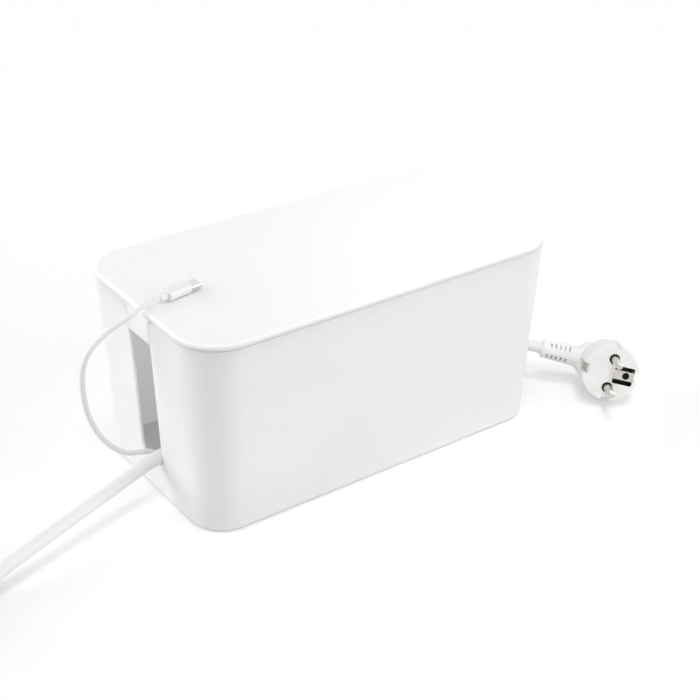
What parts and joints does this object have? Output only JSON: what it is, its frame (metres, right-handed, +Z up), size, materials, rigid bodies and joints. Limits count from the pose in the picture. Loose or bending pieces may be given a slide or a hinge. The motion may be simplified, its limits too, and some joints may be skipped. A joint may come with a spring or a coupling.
{
  "type": "cable management box",
  "caption": "Long white box with a lift-off lid and open end slots that hides a power strip and its cords, shown in use with mains and charging cords leaving it.",
  "frame": {"origin": "middle of the box's footprint, on the surface that its feet stand on", "axes": "+X along the box towards the end with the loose mains plug, +Z up, front wall towards -Y"},
  "size_m": [0.5645, 0.1858, 0.1304],
  "materials": {
    "box_plastic": "fine satin moulded white",
    "foot_rubber": "soft grey rubber",
    "strip_plastic": "smooth white",
    "socket_plastic": "satin pale grey",
    "rocker_plastic": "clear red, smooth",
    "contact_brass": "bare strip",
    "pin_metal": "nickel plated, satin",
    "screw_steel": "zinc plated",
    "port_steel": "bright plated",
    "board_green": "board with sealed parts",
    "plug_plastic": "satin white moulding",
    "boot_plastic": "soft white moulding",
    "mains_sheath": "soft white sheath",
    "charging_sheath": "soft thin white sheath",
    "tie_plastic": "soft grey strap",
    "charger_plastic": "smooth white"
  },
  "bodies": {
    "box": {"appliance_lead_coil": "mains_sheath", "appliance_lead_run": "mains_sheath", "appliance_lead_tail": "mains_sheath", "appliance_plug_body": "plug_plastic", "appliance_plug_boot": "boot_plastic", "appliance_plug_earth_plates": "pin_metal", "appliance_plug_pins": "pin_metal", "box_body": "box_plastic", "charger_board": "board_green", "coil_tie": "tie_plastic", "connector_body": "plug_plastic", "connector_boot": "boot_plastic", "connector_contacts": "contact_brass", "earth_busbar": "contact_brass", "hank_tie": "tie_plastic", "live_busbar": "contact_brass", "mains_plug_body": "plug_plastic", "mains_plug_boot": "boot_plastic", "mains_plug_earth_plates": "pin_metal", "mains_plug_pins": "pin_metal", "neutral_busbar": "contact_brass", "rocker_frame": "socket_plastic", "rubber_feet": "foot_rubber", "shutter_right": "socket_plastic", "socket_well_left": "socket_plastic", "socket_well_right": "socket_plastic", "strip_base": "strip_plastic", "strip_boot": "boot_plastic", "strip_cover": "strip_plastic", "strip_lead_hank": "mains_sheath", "strip_lead_run": "mains_sheath", "strip_lead_turn": "mains_sheath", "strip_screws": "screw_steel", "usb_coil_tie": "tie_plastic", "usb_cord_coil": "charging_sheath", "usb_cord_drop": "charging_sheath", "usb_cord_low": "charging_sheath", "usb_plug_grip": "charger_plastic", "usb_plug_shell": "port_steel", "usb_port": "port_steel"},
    "lid": {"lid": "box_plastic", "usb_cord_top": "charging_sheath", "charge_collar": "charger_plastic", "charge_grip": "charger_plastic", "charge_tip": "port_steel"},
    "rocker": {"rocker": "rocker_plastic"},
    "shutter": {"shutter_left": "socket_plastic"}
  },
  "joints": [
    {"name": "lid_lift", "type": "slide", "parent": "box", "child": "lid", "axis": [0, 0, 1], "range_m": [0, 0.08]},
    {"name": "rocker_tilt", "type": "hinge", "parent": "box", "child": "rocker", "pos_m": [-0.054, -0.011, 0.04], "axis": [1, 0, 0], "range_deg": [-16, 0]},
    {"name": "shutter_turn", "type": "hinge", "parent": "box", "child": "shutter", "pos_m": [-0.023, -0.022, 0.024], "axis": [0, 0, 1], "range_deg": [-36, 0], "stiffness_Nm_per_rad": 0.002}
  ]
}
